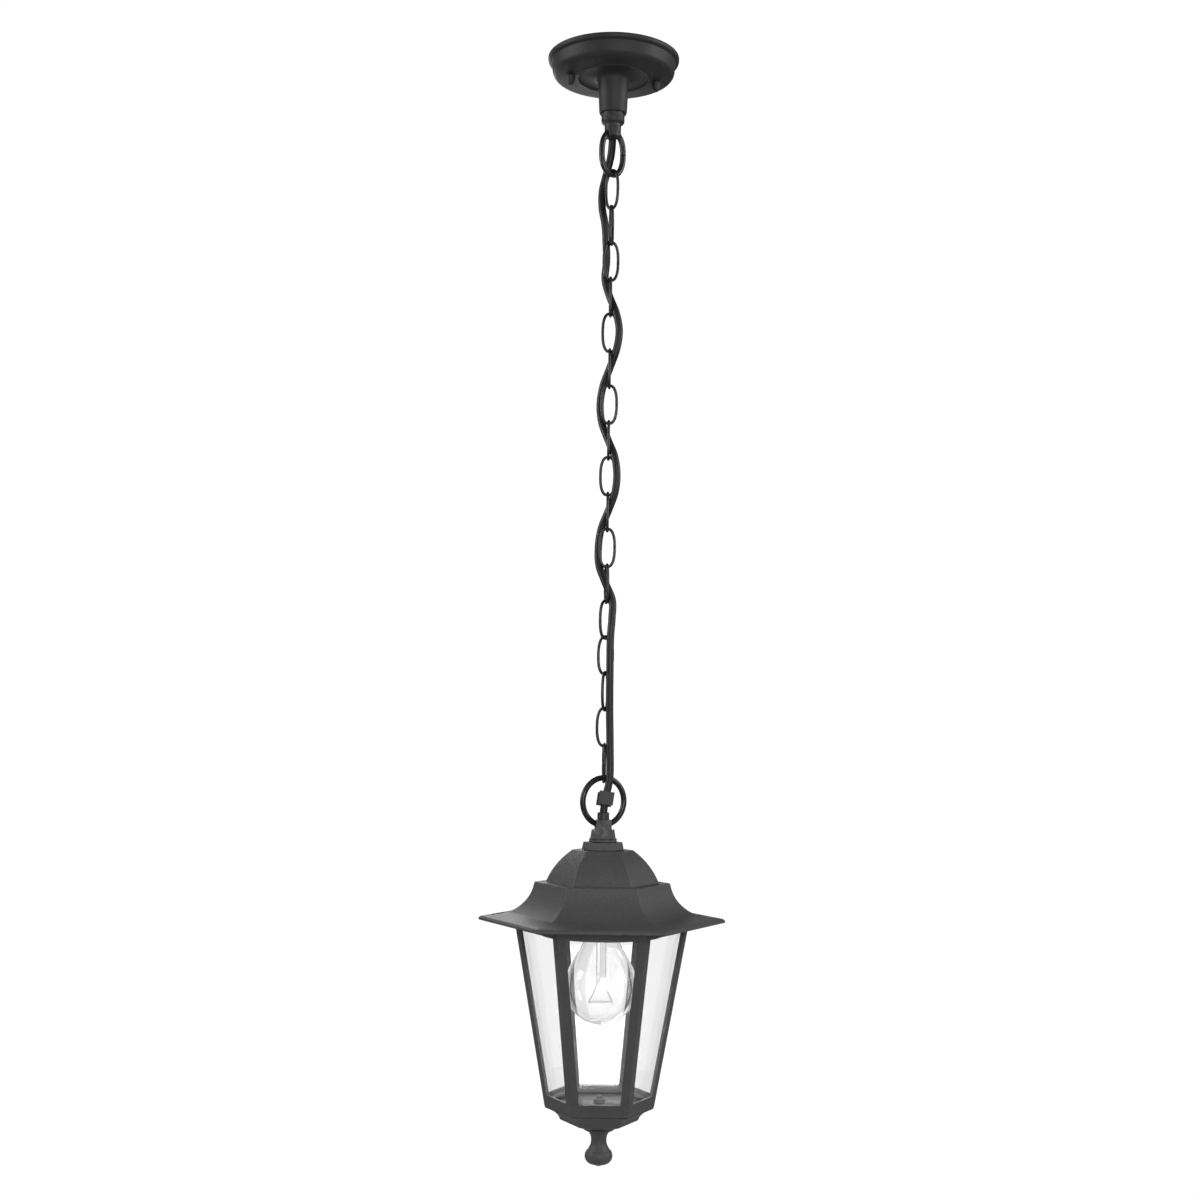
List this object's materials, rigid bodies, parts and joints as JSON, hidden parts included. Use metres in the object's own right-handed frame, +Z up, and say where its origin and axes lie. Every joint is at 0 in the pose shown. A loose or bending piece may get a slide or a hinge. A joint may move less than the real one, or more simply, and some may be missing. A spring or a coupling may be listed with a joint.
{
  "type": "hanging lantern",
  "caption": "Black pendant lantern: six-sided tapered glazed cage under a flared domed roof, hung by ring, chain and woven cord from a round ceiling canopy.",
  "frame": {"origin": "centre of the ceiling bracket's top face, in the ceiling plane, on the lantern's hanging axis", "axes": "+Z up out of the lantern into the ceiling, +X to the viewer's right along a corner of the six-sided lantern, -Y towards the viewer and square to one glass face"},
  "size_m": [0.205, 0.1776, 0.9179],
  "materials": {
    "powder_coat": "cast aluminium under fine-textured charcoal powder coat",
    "painted_steel": "pressed sheet in satin charcoal paint",
    "black_chain": "satin black painted steel wire",
    "cord_sheath": "smooth semi-matt black sheath",
    "zinc_steel": "bright zinc plate",
    "black_plastic": "satin moulded",
    "white_insulator": "matt insulator",
    "nickel_brass": "nickel-plated brass",
    "filament_wire": "fine drawn wire",
    "clear_glass": "clear polished"
  },
  "bodies": {
    "ceiling_mount": {"ceiling_bracket": "zinc_steel", "stud_left": "zinc_steel", "stud_right": "zinc_steel", "cap_nut_left": "powder_coat", "cap_nut_right": "powder_coat", "terminal_block": "white_insulator", "canopy": "powder_coat", "hook_eye": "powder_coat", "mains_cord": "cord_sheath"},
    "top_loop": {"top_loop": "black_chain"},
    "link_01": {"chain_link_01": "black_chain"},
    "link_02": {"chain_link_02": "black_chain"},
    "link_03": {"chain_link_03": "black_chain"},
    "link_04": {"chain_link_04": "black_chain"},
    "link_05": {"chain_link_05": "black_chain"},
    "link_06": {"chain_link_06": "black_chain"},
    "link_07": {"chain_link_07": "black_chain"},
    "link_08": {"chain_link_08": "black_chain"},
    "link_09": {"chain_link_09": "black_chain"},
    "link_10": {"chain_link_10": "black_chain"},
    "link_11": {"chain_link_11": "black_chain"},
    "link_12": {"chain_link_12": "black_chain"},
    "link_13": {"chain_link_13": "black_chain"},
    "link_14": {"chain_link_14": "black_chain"},
    "link_15": {"chain_link_15": "black_chain"},
    "link_16": {"chain_link_16": "black_chain"},
    "link_17": {"chain_link_17": "black_chain"},
    "ring": {"hanging_ring": "black_chain", "cord_grip_front": "black_plastic", "cord_grip_back": "black_plastic"},
    "lantern": {"hanger": "powder_coat", "cord_bush": "black_plastic", "roof_washer": "powder_coat", "roof_collar": "powder_coat", "hanger_nut": "zinc_steel", "roof": "powder_coat", "cage": "powder_coat", "glass_pane_1": "clear_glass", "glass_pane_2": "clear_glass", "glass_pane_3": "clear_glass", "glass_pane_4": "clear_glass", "glass_pane_5": "clear_glass", "glass_pane_6": "clear_glass", "lampholder_plate": "painted_steel", "roof_screw_1": "zinc_steel", "roof_screw_2": "zinc_steel", "roof_screw_3": "zinc_steel", "lampholder_cap": "black_plastic", "lampholder_skirt": "black_plastic", "contact_block": "white_insulator", "centre_contact": "nickel_brass", "bulb_cap": "nickel_brass", "bulb_glass": "clear_glass", "bulb_mount": "clear_glass", "filament": "filament_wire", "tray_floor": "powder_coat", "base_tray": "powder_coat", "finial": "powder_coat", "finial_nut": "zinc_steel"}
  },
  "joints": [
    {"name": "loop_swing", "type": "hinge", "parent": "ceiling_mount", "child": "top_loop", "pos_m": [0, 0, -0.06065], "axis": [0.866, 0.5, 0], "range_deg": [-20, 20], "deforming": ["mains_cord"]},
    {"name": "link_01_swing", "type": "hinge", "parent": "top_loop", "child": "link_01", "pos_m": [0, 0, -0.09605], "axis": [0.866, 0.5, 0], "range_deg": [-15, 15], "deforming": ["mains_cord"]},
    {"name": "link_02_swing", "type": "hinge", "parent": "link_01", "child": "link_02", "pos_m": [0, 0, -0.12452], "axis": [-0.766, 0.6428, 0], "range_deg": [-15, 15], "deforming": ["mains_cord"]},
    {"name": "link_03_swing", "type": "hinge", "parent": "link_02", "child": "link_03", "pos_m": [0, 0, -0.15423], "axis": [-0.1736, -0.9848, 0], "range_deg": [-15, 15], "deforming": ["mains_cord"]},
    {"name": "link_04_swing", "type": "hinge", "parent": "link_03", "child": "link_04", "pos_m": [0, 0, -0.18393], "axis": [0.9397, 0.342, 0], "range_deg": [-15, 15], "deforming": ["mains_cord"]},
    {"name": "link_05_swing", "type": "hinge", "parent": "link_04", "child": "link_05", "pos_m": [0, 0, -0.21363], "axis": [0.0349, 0.9994, 0], "range_deg": [-15, 15], "deforming": ["mains_cord"]},
    {"name": "link_06_swing", "type": "hinge", "parent": "link_05", "child": "link_06", "pos_m": [0, 0, -0.24333], "axis": [-0.9659, -0.2588, 0], "range_deg": [-15, 15], "deforming": ["mains_cord"]},
    {"name": "link_07_swing", "type": "hinge", "parent": "link_06", "child": "link_07", "pos_m": [0, 0, -0.27303], "axis": [0, -1, 0], "range_deg": [-15, 15], "deforming": ["mains_cord"]},
    {"name": "link_08_swing", "type": "hinge", "parent": "link_07", "child": "link_08", "pos_m": [0, 0, -0.30273], "axis": [1, 0, 0], "range_deg": [-15, 15], "deforming": ["mains_cord"]},
    {"name": "link_09_swing", "type": "hinge", "parent": "link_08", "child": "link_09", "pos_m": [0, 0, -0.33243], "axis": [0, 1, 0], "range_deg": [-15, 15], "deforming": ["mains_cord"]},
    {"name": "link_10_swing", "type": "hinge", "parent": "link_09", "child": "link_10", "pos_m": [0, 0, -0.36212], "axis": [-1, 0, 0], "range_deg": [-15, 15], "deforming": ["mains_cord"]},
    {"name": "link_11_swing", "type": "hinge", "parent": "link_10", "child": "link_11", "pos_m": [0, 0, -0.39182], "axis": [0, -1, 0], "range_deg": [-15, 15], "deforming": ["mains_cord"]},
    {"name": "link_12_swing", "type": "hinge", "parent": "link_11", "child": "link_12", "pos_m": [0, 0, -0.42152], "axis": [1, 0, 0], "range_deg": [-15, 15], "deforming": ["mains_cord"]},
    {"name": "link_13_swing", "type": "hinge", "parent": "link_12", "child": "link_13", "pos_m": [0, 0, -0.45122], "axis": [-0.1736, 0.9848, 0], "range_deg": [-15, 15], "deforming": ["mains_cord"]},
    {"name": "link_14_swing", "type": "hinge", "parent": "link_13", "child": "link_14", "pos_m": [0, 0, -0.48092], "axis": [-0.766, -0.6428, 0], "range_deg": [-15, 15], "deforming": ["mains_cord"]},
    {"name": "link_15_swing", "type": "hinge", "parent": "link_14", "child": "link_15", "pos_m": [0, 0, -0.51062], "axis": [-0.9397, 0.342, 0], "range_deg": [-15, 15], "deforming": ["mains_cord"]},
    {"name": "link_16_swing", "type": "hinge", "parent": "link_15", "child": "link_16", "pos_m": [0, 0, -0.54033], "axis": [0.342, 0.9397, 0], "range_deg": [-15, 15], "deforming": ["mains_cord"]},
    {"name": "link_17_swing", "type": "hinge", "parent": "link_16", "child": "link_17", "pos_m": [0, 0, -0.57003], "axis": [0.9848, 0.1736, 0], "range_deg": [-15, 15], "deforming": ["mains_cord"]},
    {"name": "ring_swing", "type": "hinge", "parent": "link_17", "child": "ring", "pos_m": [0, 0, -0.59972], "axis": [0.0872, -0.9962, 0], "range_deg": [-15, 15], "deforming": ["mains_cord"]},
    {"name": "lantern_swing", "type": "hinge", "parent": "ring", "child": "lantern", "pos_m": [0, 0, -0.635], "axis": [-0.866, -0.5, 0], "range_deg": [-20, 20], "deforming": ["mains_cord"]}
  ]
}
